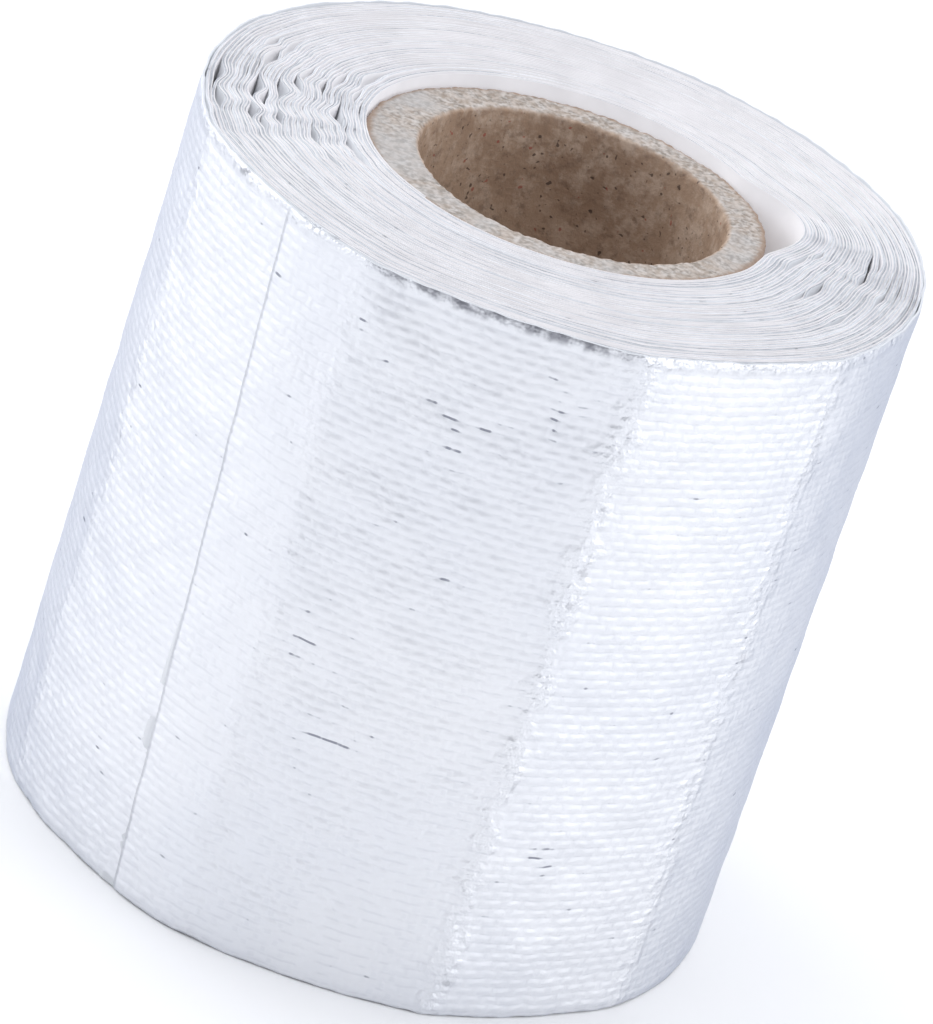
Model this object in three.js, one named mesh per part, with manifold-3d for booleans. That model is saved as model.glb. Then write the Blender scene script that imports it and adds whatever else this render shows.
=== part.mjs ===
// A roll of heat shield tape: foil-faced glass cloth with a paper release liner, wound on a cardboard core.
// Units are millimetres. +Z runs up the roll's axis, and the origin is the centre of the lower end,
// on the surface that the roll stands on. The front of the roll faces -Y.
import * as THREE from "three";
import { mergeVertices } from "three/addons/utils/BufferGeometryUtils.js";
import Module from "manifold-3d";

const wasm = await Module();
wasm.setup();

// The winding
const tapeWidth = 50;
const rollDiameter = 50.6;
const turnThickness = 0.28; // tape and liner together
const tailAngle = THREE.MathUtils.degToRad(233); // where the outermost turn's cut end lies

// The cardboard core
const coreBore = 22.3;
const coreWall = 2.7;
const coreInset = 0.4; // each end of the core stops this far inside the tape's edge
const coreShift = new THREE.Vector2(0.2, 0.8); // the winding is slack, so the core lies off its centre

// The innermost lap of the release liner
const linerThickness = 0.15;
const linerInset = 0.2;
const windingClearance = 0.2; // core to liner, and liner to tape

// The slack pocket, where the inner turns stand off the core
const slackDepth = 2.6;
const slackAngle = THREE.MathUtils.degToRad(11);
const slackSpan = THREE.MathUtils.degToRad(44);

// The turns that show on both ends, as grooves between groups of turns
const turnsPerGroove = 5;
const grooveWidth = 0.26;
const grooveDepth = 0.35;

const windingSegments = 48;
const boreSegments = 72;

// Derived sizes
const coreRadius = coreBore / 2 + coreWall;
const linerRadius = coreRadius + windingClearance;
const windingBoreRadius = linerRadius + linerThickness + windingClearance;
const rollRadius = rollDiameter / 2;
const turnedRadius = rollRadius - 2 * turnThickness; // inside the two outermost turns

const foil = new THREE.MeshStandardMaterial({ color: 0xe3e7ee, roughness: 0.35, metalness: 0.9 });
const linerPaper = new THREE.MeshStandardMaterial({ color: 0xf1f0ee, roughness: 0.6, metalness: 0 });
const cardboard = new THREE.MeshStandardMaterial({ color: 0xa38a70, roughness: 0.95, metalness: 0 });

function polar(radius, angle) {
  return new THREE.Vector2(radius * Math.cos(angle), radius * Math.sin(angle));
}

// How far the inner turns stand off the core at this angle: a smooth bulge inside the slack span.
function slackAt(angle) {
  const away = Math.abs(Math.atan2(Math.sin(angle - slackAngle), Math.cos(angle - slackAngle)));
  return away < slackSpan / 2 ? slackDepth * Math.cos((Math.PI * away) / slackSpan) ** 2 : 0;
}

// The closed line of a turn next to the core, which bulges at the slack pocket.
function innerTurnOutline(radius) {
  const points = [];
  for (let i = 0; i < boreSegments; i++) {
    const angle = (2 * Math.PI * i) / boreSegments;
    points.push(polar(radius + slackAt(angle), angle).add(coreShift));
  }
  return points;
}

// The closed line of the outermost turn: its radius falls by one turn on the way round from the cut end.
function outerTurnOutline() {
  const points = [];
  for (let i = 0; i <= windingSegments; i++) {
    const share = i / windingSegments;
    points.push(polar(rollRadius - turnThickness * share, tailAngle + 2 * Math.PI * share));
  }
  return points;
}

function prism(outline, bottom, top, hole = null) {
  const shape = new THREE.Shape(outline);
  if (hole) shape.holes.push(new THREE.Path(hole));
  const geometry = new THREE.ExtrudeGeometry(shape, { depth: top - bottom, bevelEnabled: false });
  return geometry.translate(0, 0, bottom);
}

// Turns a profile of (radius, height) points about Z.
function turned(profile) {
  return new THREE.LatheGeometry(profile, windingSegments).rotateX(Math.PI / 2);
}

function solidFrom(geometry) {
  const bare = geometry.clone().deleteAttribute("normal").deleteAttribute("uv");
  const merged = mergeVertices(bare, 1e-4);
  return new wasm.Manifold(
    new wasm.Mesh({
      numProp: 3,
      vertProperties: merged.attributes.position.array,
      triVerts: new Uint32Array(merged.index.array),
    }),
  );
}

function geometryFrom(solid) {
  const { vertProperties, triVerts } = solid.getMesh();
  const geometry = new THREE.BufferGeometry();
  geometry.setAttribute("position", new THREE.BufferAttribute(vertProperties, 3));
  geometry.setIndex(new THREE.BufferAttribute(triVerts, 1));
  geometry.computeVertexNormals();
  return geometry;
}

function coreGeometry() {
  const inner = coreBore / 2;
  return turned([
    new THREE.Vector2(inner, coreInset),
    new THREE.Vector2(coreRadius, coreInset),
    new THREE.Vector2(coreRadius, tapeWidth - coreInset),
    new THREE.Vector2(inner, tapeWidth - coreInset),
    new THREE.Vector2(inner, coreInset),
  ]).translate(coreShift.x, coreShift.y, 0);
}

function linerGeometry() {
  const outside = innerTurnOutline(linerRadius + linerThickness);
  return prism(outside, linerInset, tapeWidth - linerInset, innerTurnOutline(linerRadius));
}

// The grooves' centre lines, in whole groups of turns from the outside in.
function grooveRadii() {
  const radii = [];
  const pitch = turnsPerGroove * turnThickness;
  const innermost = windingBoreRadius + coreShift.length() + pitch / 2;
  for (let r = turnedRadius - pitch / 2; r > innermost; r -= pitch) radii.unshift(r);
  return radii;
}

function grooveProfile(radius, land, floor) {
  return [
    new THREE.Vector2(radius - grooveWidth / 2, land),
    new THREE.Vector2(radius, floor),
    new THREE.Vector2(radius + grooveWidth / 2, land),
  ];
}

// The winding is turned with grooved ends, joined with the two outermost turns, and bored.
function windingGeometry() {
  const start = coreBore / 2; // inside the bore that is cut below
  const lowerEnd = grooveRadii().flatMap((r) => grooveProfile(r, 0, grooveDepth));
  const upperEnd = grooveRadii().flatMap((r) => grooveProfile(r, tapeWidth, tapeWidth - grooveDepth));
  const body = turned([
    new THREE.Vector2(start, 0),
    ...lowerEnd,
    new THREE.Vector2(turnedRadius, 0),
    new THREE.Vector2(turnedRadius, tapeWidth),
    ...upperEnd.reverse(),
    new THREE.Vector2(start, tapeWidth),
    new THREE.Vector2(start, 0),
  ]);
  const overlapRing = [];
  for (let i = 0; i < windingSegments; i++) {
    overlapRing.push(polar(turnedRadius - turnThickness, (2 * Math.PI * i) / windingSegments));
  }
  const outerTurns = prism(outerTurnOutline(), 0, tapeWidth, overlapRing);
  const bore = prism(innerTurnOutline(windingBoreRadius), -1, tapeWidth + 1);
  return geometryFrom(solidFrom(body).add(solidFrom(outerTurns)).subtract(solidFrom(bore)));
}

function named(name, geometry, material) {
  const mesh = new THREE.Mesh(geometry, material);
  mesh.name = name;
  return mesh;
}

const roll = new THREE.Group();
roll.add(named("cardboard_core", coreGeometry(), cardboard));
roll.add(named("release_liner", linerGeometry(), linerPaper));
roll.add(named("tape_roll", windingGeometry(), foil));

export default roll;
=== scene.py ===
from math import atan2, cos, pi, radians, sin

import bmesh
import bpy
import numpy as np
from mathutils import Matrix, Vector, noise


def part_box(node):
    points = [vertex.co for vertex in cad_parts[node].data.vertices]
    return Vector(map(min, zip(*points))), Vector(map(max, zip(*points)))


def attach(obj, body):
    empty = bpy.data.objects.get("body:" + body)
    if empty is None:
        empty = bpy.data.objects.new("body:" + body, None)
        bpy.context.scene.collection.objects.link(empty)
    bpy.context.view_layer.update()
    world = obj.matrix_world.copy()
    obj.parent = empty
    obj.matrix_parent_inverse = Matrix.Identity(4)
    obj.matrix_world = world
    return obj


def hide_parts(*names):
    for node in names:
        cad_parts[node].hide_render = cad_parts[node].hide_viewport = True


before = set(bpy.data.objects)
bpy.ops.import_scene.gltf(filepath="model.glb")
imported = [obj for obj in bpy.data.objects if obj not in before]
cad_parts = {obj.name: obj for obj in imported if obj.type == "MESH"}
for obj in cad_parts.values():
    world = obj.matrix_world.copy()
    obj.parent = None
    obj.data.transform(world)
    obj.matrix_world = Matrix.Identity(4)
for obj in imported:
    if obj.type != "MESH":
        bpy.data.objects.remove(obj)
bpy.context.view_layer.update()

# The camera stands before the roll, a little above it, and is turned about its own axis,
# so that the roll leans to the right in the picture as it does in the photograph.
# The roll's width, which is its height here, is what the distance and the framing are worked out from.
tape_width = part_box("tape_roll")[1][2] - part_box("tape_roll")[0][2]
camera_distance = 9.916 * tape_width
camera_elevation = radians(25.24)
camera_roll = radians(18.285)
picture_width = 933
picture_height = 1024

lens = bpy.data.cameras.new("camera")
lens.lens = 259.6
lens.sensor_width = 36
lens.shift_x = 0.00846
lens.shift_y = -0.00925
lens.clip_start = 0.01
camera = bpy.data.objects.new("camera", lens)
bpy.context.collection.objects.link(camera)
camera_place = Vector((0, -cos(camera_elevation), sin(camera_elevation))) * camera_distance
camera_frame = (
    Matrix.Translation(camera_place + Vector((0, 0, tape_width / 2)))
    @ Matrix.Rotation(pi / 2 - camera_elevation, 4, "X")
    @ Matrix.Rotation(camera_roll, 4, "Z")
)
camera.matrix_world = camera_frame
bpy.context.scene.camera = camera


# The core is a tube of grey-brown board, wound in a spiral and sawn to length, so its cut ends are
# speckled and fuzzy and its bore shows brown paper with dark flecks and a few red fibres.
# It is sawn a little out of square, so that the back of its upper end lies deeper in the roll.
core_low, core_high = (Vector(corner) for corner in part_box("cardboard_core"))
core_centre = (core_low + core_high) / 2
core_radius = (core_high.x - core_low.x) / 2
core_wall = 0.0027
core_bore_radius = core_radius - core_wall
core_lip = 0.00035
core_steps = 420
core_end_cuts = 9
core_wall_cuts = 30
core_fuzz = 0.00009
core_saw_slope = 0.02
bore_shift = 0.0005
bore_squeeze = 0.05


class Value:
    """An output socket of a material's nodes. Arithmetic on it adds Math nodes."""

    def __init__(self, maker, socket):
        self.maker = maker
        self.socket = socket

    def math(self, operation, *others):
        inputs = dict(enumerate([self, *others]))
        return self.maker.node("ShaderNodeMath", {"operation": operation}, inputs)

    def __add__(self, other):
        return self.math("ADD", other)

    __radd__ = __add__

    def __sub__(self, other):
        return self.math("SUBTRACT", other)

    def __rsub__(self, other):
        return (self * -1) + other

    def __mul__(self, other):
        return self.math("MULTIPLY", other)

    __rmul__ = __mul__

    def __truediv__(self, other):
        return self.math("DIVIDE", other)

    def __pow__(self, other):
        return self.math("POWER", other)

    def whole(self):
        return self.math("FLOOR")

    def size(self):
        return self.math("ABSOLUTE")

    def wave(self):
        """The cosine of pi times the value."""
        return (self * pi).math("COSINE")

    def smooth(self, low, high):
        """0 where the value is at low and 1 where it is at high, with a soft step between."""
        settings = {"interpolation_type": "SMOOTHSTEP"}
        sockets = {"Value": self, "From Min": low, "From Max": high}
        return self.maker.node("ShaderNodeMapRange", settings, sockets)


class Nodes:
    """A node tree under construction."""

    def __init__(self, tree):
        self.tree = tree

    def node(self, kind, settings=None, inputs=None, output=0):
        made = self.tree.nodes.new(kind)
        for key, value in (settings or {}).items():
            setattr(made, key, value)
        for key, value in (inputs or {}).items():
            self.feed(made.inputs[key], value)
        return Value(self, made.outputs[output])

    def feed(self, socket, value):
        if isinstance(value, Value):
            self.tree.links.new(value.socket, socket)
        else:
            socket.default_value = value

    def split(self, vector):
        made = self.node("ShaderNodeSeparateXYZ", inputs={"Vector": vector}).socket.node
        return [Value(self, made.outputs[axis]) for axis in "XYZ"]

    def join(self, x, y, z):
        return self.node("ShaderNodeCombineXYZ", inputs={"X": x, "Y": y, "Z": z})

    def noise(self, vector, scale, detail=3.0, roughness=0.5):
        sockets = {"Vector": vector, "Scale": scale, "Detail": detail, "Roughness": roughness}
        return self.node("ShaderNodeTexNoise", inputs=sockets, output="Fac")

    def mix(self, share, first, second):
        made = self.node("ShaderNodeMix", {"data_type": "RGBA"}).socket.node
        for key, value in ((0, share), (6, first), (7, second)):
            self.feed(made.inputs[key], value)
        return Value(self, made.outputs[2])

    def bump(self, height, distance, strength=1.0):
        sockets = {"Height": height, "Distance": distance, "Strength": strength}
        return self.node("ShaderNodeBump", inputs=sockets)


class Finish(Nodes):
    """A material under construction."""

    def __init__(self, name):
        self.material = bpy.data.materials.new(name)
        self.material.use_nodes = True
        super().__init__(self.material.node_tree)
        self.shader = self.tree.nodes["Principled BSDF"]

    def set(self, **sockets):
        for key, value in sockets.items():
            self.feed(self.shader.inputs[key.replace("_", " ")], value)

    def place(self):
        return self.node("ShaderNodeTexCoord", output="Object")


def core_profile():
    """The tube's section as (radius, height), once round, with rounded lips at both ends."""
    corners = (
        (core_bore_radius, core_high.z, (1, -1)),
        (core_radius, core_high.z, (-1, -1)),
        (core_radius, core_low.z, (-1, 1)),
        (core_bore_radius, core_low.z, (1, 1)),
    )
    points = []
    for corner, (radius, height, inward) in enumerate(corners):
        centre = (radius + inward[0] * core_lip, height + inward[1] * core_lip)
        first = pi - corner * pi / 2
        for step in range(5):
            turn = first - step * pi / 8
            points.append((centre[0] + core_lip * cos(turn), centre[1] + core_lip * sin(turn)))
    return points


def core_mesh():
    bm = bmesh.new()
    section = [bm.verts.new((radius, 0, height)) for radius, height in core_profile()]
    for first, second in zip(section, section[1:] + section[:1]):
        bm.edges.new((first, second))
    end_edges = [edge for edge in bm.edges if 0.001 < edge.calc_length() < 0.01]
    bmesh.ops.subdivide_edges(bm, edges=end_edges, cuts=core_end_cuts)
    wall_edges = [edge for edge in bm.edges if edge.calc_length() > 0.01]
    bmesh.ops.subdivide_edges(bm, edges=wall_edges, cuts=core_wall_cuts)
    ring = bm.verts[:] + bm.edges[:]
    bmesh.ops.spin(
        bm, geom=ring, cent=(0, 0, 0), axis=(0, 0, 1), angle=2 * pi, steps=core_steps, use_merge=True
    )
    bmesh.ops.remove_doubles(bm, verts=bm.verts, dist=1e-6)
    bmesh.ops.recalc_face_normals(bm, faces=bm.faces)
    bm.normal_update()
    for vert in bm.verts:
        at_end = min(vert.co.z - core_low.z, core_high.z - vert.co.z) < 2 * core_lip
        fuzz = noise.noise(vert.co * 2600) + 0.7 * noise.noise(vert.co * 900)
        sideways = 0.25 * noise.noise(vert.co * 180)
        vert.co += vert.normal * core_fuzz * ((fuzz - 0.4) if at_end else sideways)
        from_axis = Vector((vert.co.x, vert.co.y)).length
        way_in = (core_radius - from_axis) / core_wall
        vert.co.x += (bore_shift - bore_squeeze * vert.co.x) * way_in
        if at_end and vert.co.z > core_centre.z:
            vert.co.z -= core_saw_slope * (vert.co.y + core_radius)
    bmesh.ops.translate(bm, verts=bm.verts, vec=(core_centre.x, core_centre.y, 0))
    return bm


def board_finish():
    board = Finish("core_board")
    place = board.place()
    x, y, z = board.split(place)
    radius = ((x - core_centre.x) ** 2.0 + (y - core_centre.y) ** 2.0) ** 0.5
    across_bore = (x - core_centre.x - bore_shift) / (1 - bore_squeeze)
    bore_distance = (across_bore ** 2.0 + (y - core_centre.y) ** 2.0) ** 0.5
    in_bore = 1 - bore_distance.smooth(core_bore_radius, core_bore_radius + 0.0004)
    speckle = board.noise(place, 2600.0, 2.0)
    fibres = board.noise(place, 700.0, 5.0, 0.7)
    blotches = board.noise(place, 130.0, 3.0)
    ragged = board.noise(place, 1200.0, 4.0, 0.7)
    end = board.mix(speckle.smooth(0.3, 0.7), (0.26, 0.23, 0.20, 1), (0.60, 0.56, 0.53, 1))
    end = board.mix(ragged.smooth(0.35, 0.65) * 0.5, end, (0.47, 0.38, 0.31, 1))
    end = board.mix(blotches.smooth(0.45, 0.65) * 0.5, end, (0.50, 0.50, 0.50, 1))
    outer_rim = (radius + ragged * 0.0006).smooth(core_radius - 0.0004, core_radius + 0.0001)
    end = board.mix(outer_rim * 0.7, end, (0.33, 0.22, 0.15, 1))
    bore = board.mix(blotches.smooth(0.3, 0.7), (0.37, 0.255, 0.18, 1), (0.54, 0.40, 0.295, 1))
    bore = board.mix(fibres.smooth(0.42, 0.70) * 0.6, bore, (0.72, 0.59, 0.48, 1))
    bore = board.mix(ragged.smooth(0.50, 0.72) * 0.55, bore, (0.20, 0.135, 0.10, 1))
    flecks = board.noise(place, 3000.0, 0.0).smooth(0.75, 0.82)
    bore = board.mix(flecks * 0.75, bore, (0.05, 0.035, 0.028, 1))
    aside = board.node("ShaderNodeVectorMath", {"operation": "ADD"}, {0: place, 1: (7, 3, 1)})
    red_fibres = board.noise(aside, 1900.0, 0.0).smooth(0.79, 0.82)
    bore = board.mix(red_fibres * 0.6, bore, (0.35, 0.05, 0.035, 1))
    board.set(Base_Color=board.mix(in_bore, end, bore))
    board.set(Roughness=0.95)
    board.shader.inputs["Specular IOR Level"].default_value = 0.2
    grain = speckle * 0.5 + fibres
    board.set(Normal=board.bump(grain, 0.00012, 0.8))
    return board.material


def piece_from(bm, name, *materials, smooth=True):
    """A finished object made from a mesh under construction."""
    mesh = bpy.data.meshes.new(name)
    bm.to_mesh(mesh)
    bm.free()
    for material in materials:
        mesh.materials.append(material)
    mesh.polygons.foreach_set("use_smooth", [smooth] * len(mesh.polygons))
    piece = bpy.data.objects.new(name, mesh)
    bpy.context.collection.objects.link(piece)
    return piece


core = piece_from(core_mesh(), "core", board_finish())
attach(core, "root")
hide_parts("cardboard_core")


# The winding is one long strip of foil-faced glass cloth, wound in about 40 turns on the core.
# A turn is named by its share of the way in, from 0 outside to 1 at the core. The turns lie loose
# in places, so that dark gaps open between them on the left and right of the upper end.
roll_radius = (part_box("tape_roll")[1][0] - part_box("tape_roll")[0][0]) / 2
turn_count = 40
winding_depth = roll_radius - core_radius
cloth_thickness = 0.00016
liner_thickness = 0.00004
tail_angle = radians(233)
core_clearance = 0.00006
innermost_radius = core_radius + liner_thickness + cloth_thickness / 2 + core_clearance
outline_clearance = 0.0001
pocket_depth = 0.0023
pocket_angle = radians(15)
pocket_half_span = radians(26)
crease_angles = [radians(angle) for angle in (30, 75, 118, 160, 205, 248, 290, 325)]
panel_flattening = (0.05, 0.05, 0.05, 0.1, 0.22, 0.3, 0.38, 0.06)
# How strongly each crease is crinkled, in its relief and in its specks of painted shade.
crease_crinkling = (0.5, 0.5, 0.5, 0.5, 0.5, 0.35, 1.0, 0.7)
crease_radius = roll_radius + 0.0002
tightest_spread = -0.29
tight_share = 0.03
gap_widening = 1.15
gap_deepening = 1.25
draws = np.random.RandomState(7)

# Gaps between turns, by where they show in the picture: points from its left side, points from its
# top, half width in degrees, opening in mm.
open_gaps = (
    (215.7, 67, 5.0, 0.55), (215.7, 94.3, 4.5, 0.6), (205.4, 104.1, 2.5, 0.45), (213.2, 127.6, 2.5, 0.4),
    (255, 84, 6.0, 0.9), (260, 94, 4.0, 0.4), (275, 86, 5.0, 0.8), (276.4, 115.7, 4.0, 0.5),
    (262, 121, 3.0, 0.45), (252, 108, 3.5, 0.7), (337, 117, 6.5, 0.8), (351.5, 147, 4.0, 0.5),
    (360, 159, 5.0, 0.5), (338, 81, 6.0, 0.5), (295, 83, 4.0, 0.5), (305, 74, 5.0, 0.4),
    (271, 54, 5.0, 0.7), (288, 46, 6.0, 0.4), (271, 40, 3.0, 0.5), (315, 136, 4.0, 0.4),
    (331, 161, 4.0, 0.35), (355.7, 97, 5.0, 0.35), (369, 81, 6.0, 0.5), (324, 87, 4.0, 0.4),
    (862, 262, 6.0, 0.4), (857.5, 277.5, 3.5, 0.5), (811.4, 290, 6.0, 0.45), (790, 261, 7.0, 0.4),
    (802, 253.6, 3.0, 0.4), (793.6, 296.4, 5.0, 0.3), (925.7, 265, 7.0, 0.25), (870, 260, 5.0, 0.3),
    (838.6, 321.4, 5.0, 0.3), (883, 300, 3.0, 0.3), (844, 220, 3.0, 0.25), (763, 181, 5.0, 0.25),
)


def on_upper_end(across, down):
    """The place on the roll's upper end that shows at a point of the picture."""
    sideways = (across - picture_width / 2) / picture_height + lens.shift_x
    upwards = (picture_height / 2 - down) / picture_height + lens.shift_y
    sight = Vector((sideways * lens.sensor_width, upwards * lens.sensor_width, -lens.lens))
    sight = camera_frame.to_3x3() @ sight
    start = camera_frame.translation
    return start + sight * ((tape_width - start.z) / sight.z)


def tent(distance):
    return np.clip(1 - np.abs(distance), 0, None)


def swell(distance):
    return np.cos(np.clip(distance, -1, 1) * pi / 2) ** 2


def turned_by(angle, reference):
    """The signed turn from reference to angle, between minus and plus half a turn."""
    return (angle - reference + pi) % (2 * pi) - pi


def blurred(field, kernel, axis):
    kernel = kernel / kernel.sum()
    return np.apply_along_axis(lambda line: np.convolve(line, kernel, "same"), axis, field)


def outline_table(steps):
    """The roll's outline: a circle pressed slightly flat between rounded creases."""
    angle = np.arange(steps) * 2 * pi / steps
    radius = np.full(steps, crease_radius)
    ends = crease_angles[1:] + [crease_angles[0] + 2 * pi]
    for first, second, flattening in zip(crease_angles, ends, panel_flattening):
        away = turned_by(angle, (first + second) / 2)
        half = (second - first) / 2
        inside = np.abs(away) < half
        radius = np.where(inside, crease_radius * (1 + flattening / 2 * (away**2 - half**2)), radius)
    rounding = np.hanning(steps // 60)
    return blurred(np.tile(radius, 3), rounding, 0)[steps:2 * steps]


outline = outline_table(1440)


def outer_radius(angle):
    at = (angle % (2 * pi)) / (2 * pi) * len(outline)
    low = at.astype(int) % len(outline)
    return outline[low] + (outline[(low + 1) % len(outline)] - outline[low]) * (at - np.floor(at))


def inner_radius(angle):
    """The innermost turn about the core's centre, with the slack pocket on the right."""
    away = turned_by(angle, pocket_angle) / pocket_half_span
    return innermost_radius + pocket_depth * swell(away) ** 0.8


def spacing_table(share_steps, angle_steps):
    """How far in each turn lies, as a share of the winding's depth, for each turn and angle."""
    steps_per_turn = share_steps // turn_count
    share = (np.arange(share_steps) + 0.5)[:, None] / share_steps
    angle = np.arange(angle_steps)[None, :] * 2 * pi / angle_steps
    looseness = 0.13 + 0.30 * tent(turned_by(angle, radians(188)) / radians(50))
    looseness = looseness + 0.20 * tent(turned_by(angle, radians(-6)) / radians(50))
    knot_steps = 12
    rough = draws.uniform(-1, 1, (share_steps // 4, angle_steps // knot_steps))
    rough = np.repeat(np.repeat(rough, 4, axis=0), knot_steps, axis=1)
    kernel = np.hanning(3 * knot_steps + 1)
    rough = blurred(np.tile(rough, 3), kernel, 1)[:, angle_steps:2 * angle_steps]
    rough = rough - blurred(rough, np.hanning(6 * steps_per_turn + 1), 0)
    spread = looseness * rough * 2.4
    for across, down, half_width, opening in open_gaps:
        spot = on_upper_end(across, down)
        at = atan2(spot.y, spot.x)
        way_in = (roll_radius - spot.xy.length) / winding_depth
        lead = ((at - tail_angle) / (2 * pi)) % 1
        between = (np.floor(way_in * turn_count - lead) + 0.5 + lead) / turn_count
        reach = 0.45 / turn_count
        give = 7 / turn_count
        height = gap_deepening * opening / 1000 / (reach * winding_depth)
        opened = tent((share - between) / reach) - reach / give * tent((share - between) / give)
        spread = spread + height * opened * swell(turned_by(angle, at) / radians(gap_widening * half_width))
    spread = np.clip(spread, tightest_spread, None) * np.clip((share - tight_share) * 50, 0, 1)
    moved = np.cumsum(spread, axis=0) / share_steps
    moved = moved - moved[-1] * np.clip((share - tight_share) / (1 - tight_share), 0, 1)
    table = share + 0.5 / share_steps + moved
    return np.vstack([np.zeros(angle_steps), table])


spacing = spacing_table(turn_count * 8, 720)


def place_on_winding(share, angle, outward):
    """The point of a turn at this share of the way in and this angle, moved outward along its radius."""
    row = np.clip(share, 0, 1) * (spacing.shape[0] - 1)
    low = np.minimum(row.astype(int), spacing.shape[0] - 2)
    column = (angle % (2 * pi)) / (2 * pi) * spacing.shape[1]
    left = column.astype(int) % spacing.shape[1]
    right = (left + 1) % spacing.shape[1]
    part_row = row - low
    part_column = column - np.floor(column)
    first = spacing[low, left] * (1 - part_row) + spacing[low + 1, left] * part_row
    second = spacing[low, right] * (1 - part_row) + spacing[low + 1, right] * part_row
    way_in = first * (1 - part_column) + second * part_column
    middle_radius = outer_radius(angle) - cloth_thickness / 2 - outline_clearance
    x = middle_radius * np.cos(angle) * (1 - way_in)
    y = middle_radius * np.sin(angle) * (1 - way_in)
    x += (core_centre.x + inner_radius(angle) * np.cos(angle)) * way_in
    y += (core_centre.y + inner_radius(angle) * np.sin(angle)) * way_in
    return x + outward * np.cos(angle), y + outward * np.sin(angle)


def smooth_noise(count, knot_spacing, seed):
    """A smooth random line with values between -1 and 1."""
    knots = np.random.RandomState(seed).uniform(-1, 1, int(count / knot_spacing) + 4)
    at = np.arange(count) / knot_spacing
    low = at.astype(int)
    part = (1 - np.cos((at - low) * pi)) / 2
    return knots[low] * (1 - part) + knots[low + 1] * part


def strip_mesh(steps_along, steps_round):
    """A flat sheet, and for each of its vertices the step along the strip and the step round its section."""
    bm = bmesh.new()
    bmesh.ops.create_grid(bm, x_segments=steps_along, y_segments=steps_round, size=1)
    flat = np.array([vert.co[:2] for vert in bm.verts])
    steps = np.rint((flat + 1) / 2 * [steps_along, steps_round]).astype(int)
    bm.verts.index_update()
    return bm, steps[:, 0], steps[:, 1]


def wind_up(bm, places):
    """Carries the flat sheet's vertices to their places, closes the section's seam and both cut ends."""
    for vert, place in zip(bm.verts, places):
        vert.co = place
    bmesh.ops.remove_doubles(bm, verts=[v for v in bm.verts if v.is_boundary], dist=1e-7)
    bmesh.ops.holes_fill(bm, edges=[e for e in bm.edges if e.is_boundary], sides=0)
    bmesh.ops.recalc_face_normals(bm, faces=bm.faces)
    return bm


def inner_turn_path(steps_per_metre):
    """Shares of the way in and angles, at even steps along the strip, from the second turn inwards."""
    fine = np.linspace(1, turn_count, 200000)
    length = np.cumsum(roll_radius - winding_depth * fine / turn_count) * (fine[1] - fine[0]) * 2 * pi
    count = int(length[-1] * steps_per_metre)
    turns = np.interp(np.linspace(length[0], length[-1], count + 1), length, fine)
    return turns / turn_count, tail_angle + 2 * pi * turns


def edge_waviness(share, seed):
    """How far the strip's cut edge lies inside its full width: slow drift, and the cloth's own bumps."""
    count = len(share)
    drift = 0.5 + 0.5 * smooth_noise(count, 60, seed)
    lean = 0.5 + 0.5 * smooth_noise(count, 14, seed + 2)
    bumps = 0.5 + 0.5 * smooth_noise(count, 3, seed + 1)
    return 0.00005 + 0.00014 * drift + 0.00012 * lean + 0.00004 * bumps


strip_steps_per_metre = 2400
edge_crown = 0.00004
share_along, angle_along = inner_turn_path(strip_steps_per_metre)


def inner_turns_mesh():
    steps_along = len(share_along) - 1
    bm, along, around = strip_mesh(steps_along, 6)
    outward = np.array([0.5, 0.5, 0.05, -0.5, -0.5, 0.05, 0.5])[around] * cloth_thickness
    crown = np.array([0, 0, 1, 0, 0, -1, 0])[around] * edge_crown
    middle = bm.verts.layers.float.new("middle")
    metres = bm.verts.layers.float.new("metres")
    for vert, lift, step in zip(bm.verts, crown, along):
        vert[middle] = float(lift != 0)
        vert[metres] = step / strip_steps_per_metre
    top = np.array([-1, 1, 1, 1, -1, -1, -1])[around] > 0
    share = share_along[along]
    angle = angle_along[along]
    x, y = place_on_winding(share, angle, outward)
    upper = tape_width - edge_waviness(share_along, 11)[along]
    lower = edge_waviness(share_along, 21)[along]
    z = np.where(top, upper, lower) + crown
    return wind_up(bm, np.stack([x, y, z], axis=1))


def cloth_edge_finish():
    cloth = Finish("cloth_edge")
    place = cloth.place()
    middle = cloth.node("ShaderNodeAttribute", {"attribute_name": "middle"}, output="Fac")
    metres = cloth.node("ShaderNodeAttribute", {"attribute_name": "metres"}, output="Fac")
    fibres = cloth.noise(place, 1500.0, 3.0, 0.6)
    dashes = cloth.noise(cloth.join(metres * 520, 0.0, 0.0), 1.0, 2.0)
    drift = cloth.noise(cloth.join(metres * 26, 3.0, 0.0), 1.0, 2.0)
    pale = cloth.mix(drift.smooth(0.35, 0.65), (0.60, 0.62, 0.65, 1), (0.80, 0.82, 0.85, 1))
    grey = cloth.mix(drift.smooth(0.4, 0.6), (0.30, 0.32, 0.36, 1), (0.60, 0.62, 0.66, 1))
    tint = cloth.mix(middle.smooth(0.3, 0.8) * (fibres * 0.5 + dashes).smooth(0.55, 0.85), pale, grey)
    # Dark dashes along each turn's edge: painted shade, standing in for the shadowed gaps between the turns.
    tint = cloth.mix(dashes.smooth(0.62, 0.72) * 0.75, tint, (0.16, 0.17, 0.19, 1))
    cloth.set(Base_Color=tint)
    cloth.set(Roughness=0.55)
    cloth.set(Normal=cloth.bump(fibres, 0.00005, 0.6))
    return cloth.material


cloth_edge = cloth_edge_finish()
inner_turns = piece_from(inner_turns_mesh(), "tape_inner_turns", cloth_edge)
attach(inner_turns, "root")
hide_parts("tape_roll")


# The release liner is smooth white coated paper, wound in with the tape on its adhesive side.
# It is cut a hair wider than the tape, so its edge shows as a thin bright line inside each turn,
# and its innermost lap is the white wall of the slack pocket.
liner_gap = 0.000008
liner_inset = 0.00002


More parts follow.
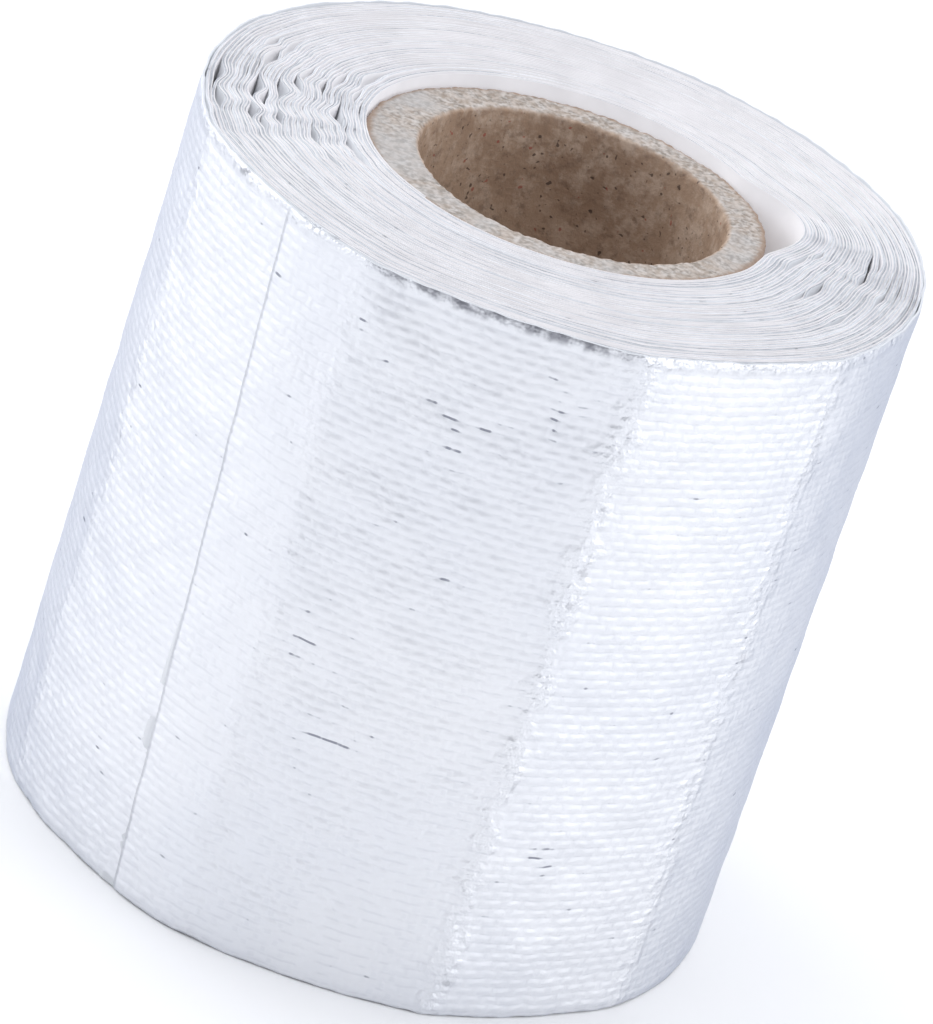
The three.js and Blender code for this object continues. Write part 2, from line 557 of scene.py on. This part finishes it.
def liner_mesh():
    steps_along = len(share_along) - 1
    bm, along, around = strip_mesh(steps_along, 4)
    outward = np.array([0.5, 0.5, -0.5, -0.5, 0.5])[around] * liner_thickness
    outward = outward - (cloth_thickness + liner_thickness) / 2 - liner_gap
    top = np.array([-1, 1, 1, -1, -1])[around] > 0
    x, y = place_on_winding(share_along[along], angle_along[along], outward)
    upper = tape_width - 0.5 * edge_waviness(share_along, 11)[along] - liner_inset
    lower = 0.5 * edge_waviness(share_along, 21)[along] + liner_inset
    z = np.where(top, upper, lower)
    return wind_up(bm, np.stack([x, y, z], axis=1))


def liner_finish():
    paper = Finish("liner_paper")
    place = paper.place()
    cloud = paper.noise(place, 300.0, 3.0)
    paper.set(Base_Color=paper.mix(cloud.smooth(0.3, 0.7), (0.84, 0.82, 0.83, 1), (0.91, 0.89, 0.90, 1)))
    paper.set(Roughness=0.45)
    paper.set(Normal=paper.bump(cloud, 0.00003, 0.3))
    return paper.material


liner = piece_from(liner_mesh(), "release_liner_strip", liner_finish())
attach(liner, "root")
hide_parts("release_liner")


# The outermost turn shows the tape's face: bright foil pressed onto plain-woven glass cloth, so that
# every yarn stands out as a small ridge. The turn ends in a straight cut at the front left, and its
# face is creased where the roll has been pressed flat.
yarns_along = 216
yarn_rows = 73
yarn_pitch = 0.0007
steps_per_row = 3
hidden_steps = 8
row_relief = 0.000004
long_yarn_relief = 0.000022
cross_yarn_relief = 0.000016
tail_slant = radians(-6.8)
rim_curl = 0.00012
rim_depth = 0.0008
crushed_angle = radians(268)
# The painted shade on the crushed front of the upper rim is darkest at this angle.
darkest_angle = radians(270)
face_ripple = 0.00004
crease_jag = 0.00005
crease_half_width = 0.0009
scratch_lead = radians(6.5)
scratch_depth = 0.00005
scratch_half_width = 0.0003
tail_press = 0.00009
fraying = 0.00004
edge_inset = 0.00008

# Where the painted shade of folds in the foil lies thick: angle in degrees, height in mm, reach in mm.
fold_shade_spots = (
    (262, 18, 4.5), (255, 24, 3.5), (268, 41, 4.5), (281, 45, 4.0),
    (282, 31, 2.5), (251, 46, 3.5), (287, 24, 2.0), (300, 13, 2.5),
)


def ripple(along, across, wavelength, seed):
    """A smooth uneven field between about -1 and 1, for positions in metres."""
    source = np.random.RandomState(seed)
    total = np.zeros(np.shape(along))
    for heading, phase, stretch in source.uniform(0, 1, (14, 3)):
        pitch = wavelength * (0.6 + 0.9 * stretch)
        run = along * cos(pi * heading) + across * sin(pi * heading)
        total += np.cos(2 * pi * (run / pitch + phase))
    return total / 14**0.5


def weave_height(along, across):
    """The height of the foil over the cloth, for positions counted in yarns along and across the tape."""
    row = np.floor(across + 0.5)
    column = np.floor(along + 0.5)
    over = np.cos(pi * (along + row))
    row_shape = np.cos(pi * (across - row)) ** 2
    column_shape = np.cos(pi * (along - column)) ** 2
    uneven = np.random.RandomState(3).uniform(0.45, 1.25, (yarn_rows + 2, yarns_along + hidden_steps))
    uneven = uneven[row.astype(int), column.astype(int)]
    long_yarn = long_yarn_relief * (1 + over) / 2 * row_shape
    cross_yarn = cross_yarn_relief * (1 - over) / 2 * column_shape
    return row_relief * row_shape + (long_yarn + cross_yarn) * uneven


def outer_turn_places(along, ring, face_steps):
    """Where each vertex of the outermost turn lies, from its step along the tape and round its section."""
    edge_side = np.array([0.5] * (face_steps + 1) + [0.2, -0.5, -0.5, 0.2])
    edge_lift = np.array([0.0] * (face_steps + 1) + [0.00004, 0.00002, -0.00002, -0.00004])
    on_face = ring <= face_steps
    across = np.where(on_face, ring / steps_per_row, np.where(ring < face_steps + 3, yarn_rows, 0))
    turns = along / (2 * yarns_along)
    high = across / yarn_rows
    full_slant = tail_slant * (high - 0.5)
    slant = full_slant * np.clip(1 - turns * 6, 0, 1)
    angle = tail_angle + 2 * pi * turns + slant
    run = roll_radius * angle
    height = high * tape_width
    relief = weave_height(along / 2, across) + face_ripple * ripple(run, height, 0.006, 1)
    jagged = np.random.RandomState(9).uniform(-1, 1, (along.max() + 1, face_steps + 1))
    jagged = jagged[along, np.minimum(ring, face_steps)]
    for crease in crease_angles:
        wobble = radians(1.3) * ripple(height * 0, height, 0.012, int(crease * 100))
        away = np.abs(turned_by(angle, crease + wobble)) * roll_radius
        relief += crease_jag * jagged * tent(away / crease_half_width)
    bend = radians(1.2) * ripple(height * 0, height, 0.014, 8)
    relief += outer_radius(angle + bend) - outer_radius(angle)
    scratch_angle = tail_angle - scratch_lead + slant - full_slant
    from_scratch = np.abs(turned_by(angle, scratch_angle)) * roll_radius
    relief -= scratch_depth * tent(from_scratch / scratch_half_width)
    below_rim = tape_width * (1 - high)
    crushed = tent(turned_by(angle, crushed_angle) / radians(40))
    rim = tent(below_rim / rim_depth) ** 2 * (0.5 + 0.5 * crushed)
    relief -= rim_curl * rim * (0.8 + 0.5 * ripple(run, height, 0.003, 4))
    relief -= rim_curl * tent(tape_width * high / rim_depth) ** 2
    pressed_tail = tail_press * np.clip(1 - along / 4, 0, 1)
    outward = edge_side[ring] * cloth_thickness + relief - pressed_tail
    x, y = place_on_winding(turns / turn_count, angle, outward)
    frayed = fraying * (1 + ripple(run, run * 0, 0.002, 6))
    z = edge_inset + (tape_width - 2 * edge_inset) * high + edge_lift[ring] - frayed * (2 * high - 1)
    return np.stack([x, y, z], axis=1)


def outer_turn_mesh():
    face_steps = yarn_rows * steps_per_row
    section_steps = face_steps + 5
    bm, along, around = strip_mesh(2 * yarns_along + hidden_steps, section_steps)
    ring = around % section_steps
    cut_edge = ring > face_steps
    weave = bm.loops.layers.uv.new("weave")
    for face in bm.faces:
        face.material_index = int(any(cut_edge[vert.index] for vert in face.verts))
        for loop in face.loops:
            step = loop.vert.index
            loop[weave].uv = (along[step] / 2, ring[step] / steps_per_row)
    return wind_up(bm, outer_turn_places(along, ring, face_steps))


def yarns_from_tail(angle):
    """How many yarns lie between the tape's cut end and an angle, along the outermost turn."""
    return (angle - tail_angle) % (2 * pi) / (2 * pi) * yarns_along


def foil_finish():
    foil = Finish("foil_face")
    place = foil.place()
    along, across, _ = foil.split(foil.node("ShaderNodeUVMap", {"uv_map": "weave"}))
    rim = across.smooth(yarn_rows - 1.3, yarn_rows - 0.4)
    sway = foil.noise(place, 600.0, 1.0) - 0.5
    uneven = foil.noise(place, 350.0, 1.0)
    along = along + sway
    across = across + sway * 0.45
    row = (across + 0.5).whole()
    over = (along + row).wave() * 0.5 + 0.5
    row_shape = (across - row).wave() ** 2.0
    column_shape = (along - (along + 0.5).whole()).wave() ** 2.0
    weave = row_shape * 0.15 + over * row_shape + (1 - over) * column_shape * 0.9

    valley = across.whole()
    from_valley = (across - valley - 0.5).size()
    # Dark dashes in the valleys between the rows of yarns are painted shade of small folds in the foil,
    # thickest at the listed spots.
    fold_shade_place = foil.join(along * 0.5, valley * 5.3, 0.0)
    fold_shade_noise = foil.noise(fold_shade_place, 1.0, 2.0)
    thick = 0.0
    for spot_angle, spot_height, reach in fold_shade_spots:
        spot_along = yarns_from_tail(radians(spot_angle))
        spot_across = spot_height / 1000 / tape_width * yarn_rows
        away = ((along - spot_along) ** 2.0 + (across - spot_across) ** 2.0) ** 0.5
        thick = (1 - away.smooth(0.0, reach / 1000 / yarn_pitch)) + thick
    dark_fold_shade = (fold_shade_noise + thick * 0.16).smooth(0.67, 0.77)
    dark_fold_shade = dark_fold_shade * (1 - (from_valley - dark_fold_shade * 0.08).smooth(0.0, 0.08))
    # Faint grey in the valleys between the rows and grey ticks at the yarn crossings: painted shade of the
    # weave's relief.
    faint_valley_shade = fold_shade_noise.smooth(0.42, 0.60) * (1 - from_valley.smooth(0.03, 0.20))
    crossing_shade = (1 - over).smooth(0.7, 0.95) * row_shape.smooth(0.25, 0.7) * uneven.smooth(0.4, 0.6)

    crinkle = foil.noise(place, 1500.0, 2.0, 0.6)
    creased = 0.0
    for crease, crinkling in zip(crease_angles, crease_crinkling):
        from_crease = (along + sway * 3.0 - yarns_from_tail(crease)).size()
        creased = (1 - from_crease.smooth(0.3, 1.9)) * crinkling + creased
    # A dark band along the crushed upper rim at the front, and dark specks along the rim and the creases:
    # painted shade of the curled and crumpled foil, broken up by noise.
    shade_breakup = foil.noise(place, 700.0, 3.0, 0.65)
    at_front = (along - yarns_from_tail(darkest_angle)).size().smooth(13.0, 7.0)
    crushed = rim * at_front * shade_breakup.smooth(0.38, 0.60)
    speck_shade = (rim + creased * 0.45) * shade_breakup.smooth(0.62, 0.70) * 0.6

    cloud = foil.noise(place, 70.0, 3.0)
    tint = foil.mix(cloud.smooth(0.3, 0.7), (0.775, 0.79, 0.825, 1), (0.82, 0.83, 0.855, 1))
    # Painted shade of the weave.
    tint = foil.mix(faint_valley_shade * 0.12 + crossing_shade * 0.07, tint, (0.33, 0.35, 0.42, 1))
    # Painted shade of the folds.
    tint = foil.mix(dark_fold_shade * 0.7, tint, (0.10, 0.11, 0.16, 1))
    # Painted shade of the crushed rim and of the crumpled specks.
    tint = foil.mix(crushed * 0.7 + speck_shade * (1 - crushed), tint, (0.12, 0.12, 0.15, 1))
    foil.set(Base_Color=tint)
    foil.set(Metallic=1.0)
    foil.set(Specular_Tint=(0.43, 0.47, 0.57, 1))
    foil.set(Roughness=cloud.smooth(0.2, 0.8) * 0.06 + 0.42)
    crinkle_depth = creased * 0.00022 + rim * 0.00025 + uneven.smooth(0.40, 0.65) * 0.00005 + 0.00001
    height = weave * 0.00003 + crinkle * crinkle_depth
    foil.set(Normal=foil.bump(height, 1.0, 0.8))
    return foil.material


foil_face = foil_finish()
outer_turn = piece_from(outer_turn_mesh(), "tape_outer_turn", foil_face, cloth_edge)
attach(outer_turn, "root")
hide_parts("tape_roll")


# The roll stands on a plain white sweep, in the soft light of three large softboxes.
floor_size = 3.0
floor_bm = bmesh.new()
bmesh.ops.create_grid(floor_bm, x_segments=1, y_segments=1, size=floor_size / 2)
floor_finish = Finish("floor_white")
floor_finish.set(Base_Color=(0.97, 0.97, 0.97, 1), Roughness=0.7)
floor = piece_from(floor_bm, "floor", floor_finish.material, smooth=False)


def softbox(name, azimuth, elevation, distance, size, power):
    light = bpy.data.lights.new(name, "AREA")
    light.shape = "RECTANGLE"
    light.size, light.size_y = size
    light.energy = power
    lamp = bpy.data.objects.new(name, light)
    bpy.context.collection.objects.link(lamp)
    towards = Vector((cos(azimuth) * cos(elevation), sin(azimuth) * cos(elevation), sin(elevation)))
    turn = towards.to_track_quat("Z", "Y").to_matrix().to_4x4()
    lamp.matrix_world = Matrix.Translation(towards * distance + Vector((0, 0, tape_width / 2))) @ turn


softbox("softbox_left", radians(166), radians(18), 0.6, (0.9, 0.5), 2.15)
softbox("softbox_right", radians(-20), radians(18), 0.6, (0.5, 0.5), 1.25)
softbox("softbox_top", radians(100), radians(80), 0.8, (0.8, 0.8), 2.9)

sky_strength = 0.75
front_dimming = 0.35
sky = bpy.data.worlds.new("studio")
sky.use_nodes = True
bpy.context.scene.world = sky
studio = Nodes(sky.node_tree)
direction = studio.node("ShaderNodeTexCoord", output="Generated")
front = (0, -cos(camera_elevation), sin(camera_elevation))
towards_front = studio.node(
    "ShaderNodeVectorMath", {"operation": "DOT_PRODUCT"}, {0: direction, 1: front}, "Value"
)
unlit = towards_front.smooth(cos(radians(42)), cos(radians(16)))
background = sky.node_tree.nodes["Background"]
background.inputs["Color"].default_value = (0.90, 0.925, 1.0, 1)
studio.feed(background.inputs["Strength"], sky_strength - unlit * front_dimming)
bpy.context.scene.view_settings.view_transform = "Standard"
